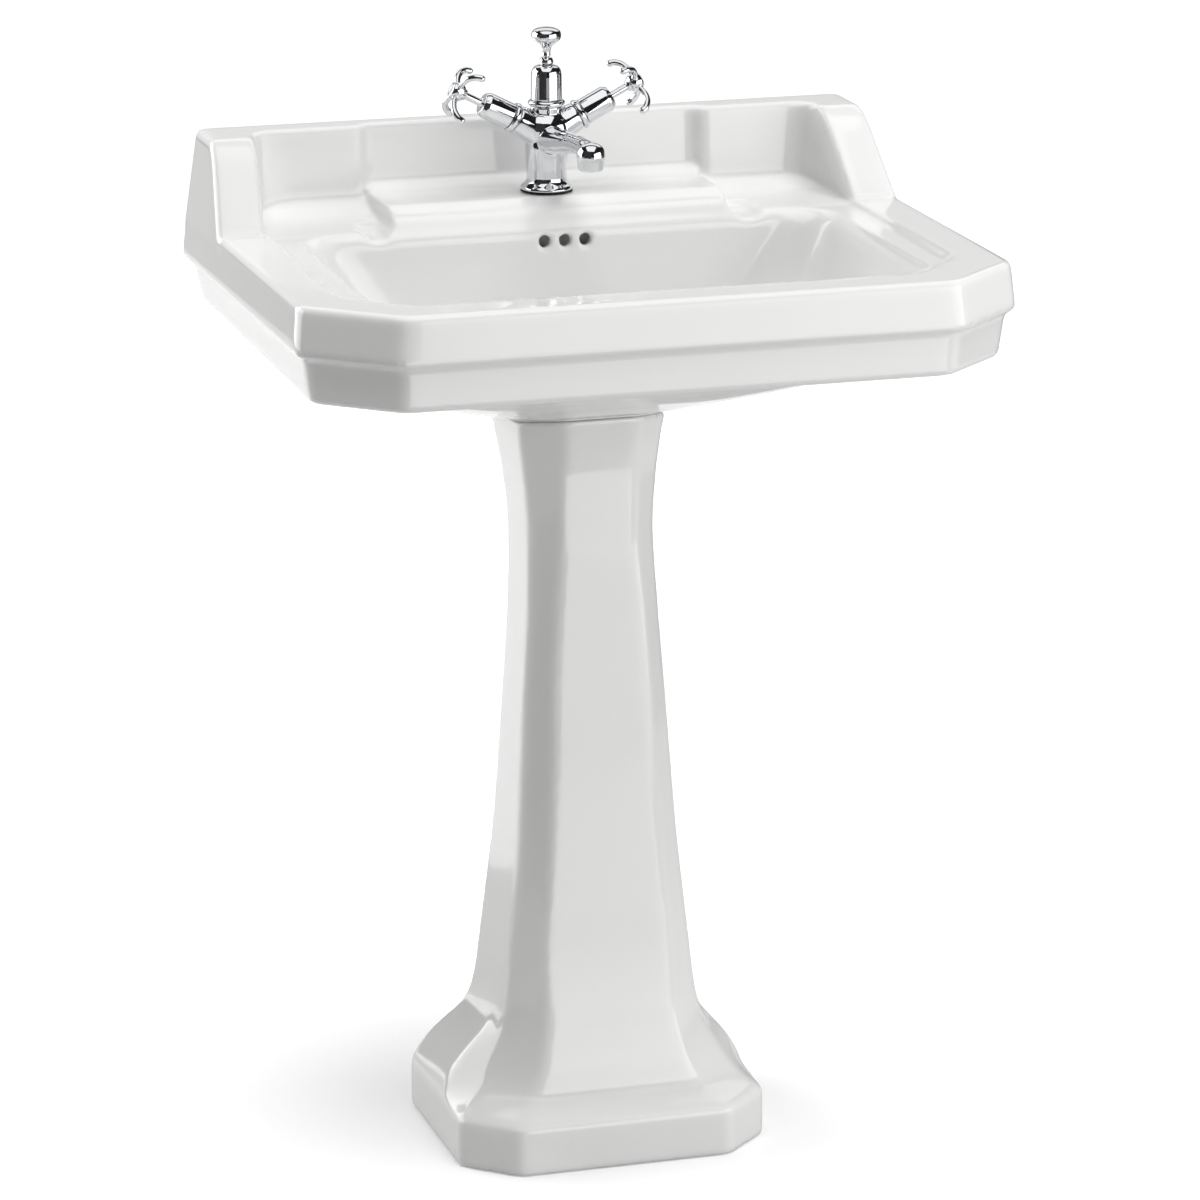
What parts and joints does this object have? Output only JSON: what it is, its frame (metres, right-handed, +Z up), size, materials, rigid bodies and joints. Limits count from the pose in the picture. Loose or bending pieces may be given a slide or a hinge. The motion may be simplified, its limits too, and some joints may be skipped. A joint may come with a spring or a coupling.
{
  "type": "pedestal sink",
  "caption": "White china pedestal sink with a raised back, angled corners, a cross-handle mixer, pop-up waste and bottle trap.",
  "frame": {"origin": "on the floor under the centre of the object's overall plan", "axes": "+Z up, the front faces -Y, the wall side faces +Y, +X is to the right as seen from the front"},
  "size_m": [0.615, 0.4742, 0.9568],
  "materials": {
    "vitreous_china": "glossy white glaze",
    "chrome_plate": "polished chrome plate",
    "brass": "plain turned brass",
    "copper": "drawn copper tube",
    "steel": "zinc plated steel",
    "black_rubber": "matt black rubber",
    "white_nylon": "moulded nylon",
    "bedding_silicone": "cured white silicone bead"
  },
  "bodies": {
    "basin_stand": {"basin": "vitreous_china", "pedestal": "vitreous_china", "tap_body": "chrome_plate", "dome_ring": "chrome_plate", "dome": "chrome_plate", "rod_guide": "chrome_plate", "waste_flange": "chrome_plate", "waste_body": "chrome_plate", "trap_inlet_nut": "chrome_plate", "trap_dip_tube": "chrome_plate", "trap_body": "chrome_plate", "trap_cup": "chrome_plate", "trap_outlet_nut": "chrome_plate", "waste_pipe": "chrome_plate", "ball_cap_nut": "chrome_plate", "hot_bonnet_ring": "chrome_plate", "hot_bonnet": "chrome_plate", "cold_bonnet_ring": "chrome_plate", "cold_bonnet": "chrome_plate", "fixing_stud_front": "brass", "fixing_stud_rear": "brass", "fixing_nut_front": "brass", "fixing_nut_rear": "brass", "waste_back_nut": "brass", "hot_valve": "brass", "hot_tail_nut": "brass", "hot_coupling": "brass", "cold_valve": "brass", "cold_tail_nut": "brass", "cold_coupling": "brass", "hot_tail": "copper", "cold_tail": "copper", "aerator": "steel", "fixing_plate": "steel", "wall_bolt_left": "steel", "wall_bolt_right": "steel", "wall_nut_left": "steel", "wall_nut_right": "steel", "floor_screw_left": "steel", "floor_screw_right": "steel", "tap_gasket": "black_rubber", "fixing_rubber": "black_rubber", "waste_seal": "black_rubber", "ball_seat": "white_nylon", "wall_washer_left": "white_nylon", "wall_washer_right": "white_nylon", "bedding_seal": "bedding_silicone"},
    "hot_tap": {"hot_handle": "chrome_plate", "hot_spindle": "chrome_plate", "hot_index_button": "vitreous_china"},
    "cold_tap": {"cold_handle": "chrome_plate", "cold_spindle": "chrome_plate", "cold_index_button": "vitreous_china"},
    "lift": {"lift_rod": "chrome_plate", "lift_knob": "chrome_plate", "link_knuckle": "brass"},
    "pivot": {"pivot_rod": "steel", "pivot_ball": "white_nylon"},
    "stopper": {"plug": "chrome_plate", "plug_seal": "black_rubber"}
  },
  "joints": [
    {"name": "hot_tap_turn", "type": "hinge", "parent": "basin_stand", "child": "hot_tap", "pos_m": [0, 0.162, 0.864], "axis": [-0.891, 0, 0.454], "range_deg": [0, 90]},
    {"name": "cold_tap_turn", "type": "hinge", "parent": "basin_stand", "child": "cold_tap", "pos_m": [0, 0.162, 0.864], "axis": [0.891, 0, 0.454], "range_deg": [0, 90]},
    {"name": "knob_slide", "type": "slide", "parent": "basin_stand", "child": "lift", "axis": [0, 0, 1], "range_m": [0, 0.028]},
    {"name": "pivot_turn", "type": "hinge", "parent": "basin_stand", "child": "pivot", "pos_m": [0, 0.075, 0.6], "axis": [1, 0, 0], "range_deg": [0, 18.57]},
    {"name": "plug_slide", "type": "slide", "parent": "basin_stand", "child": "stopper", "axis": [0, 0, 1], "range_m": [-0.00911, 0]}
  ],
  "couplings": [
    {"joint": "pivot_turn", "follows": "knob_slide", "rad_per_m": 11.544},
    {"joint": "plug_slide", "follows": "knob_slide", "ratio": -0.32184}
  ]
}
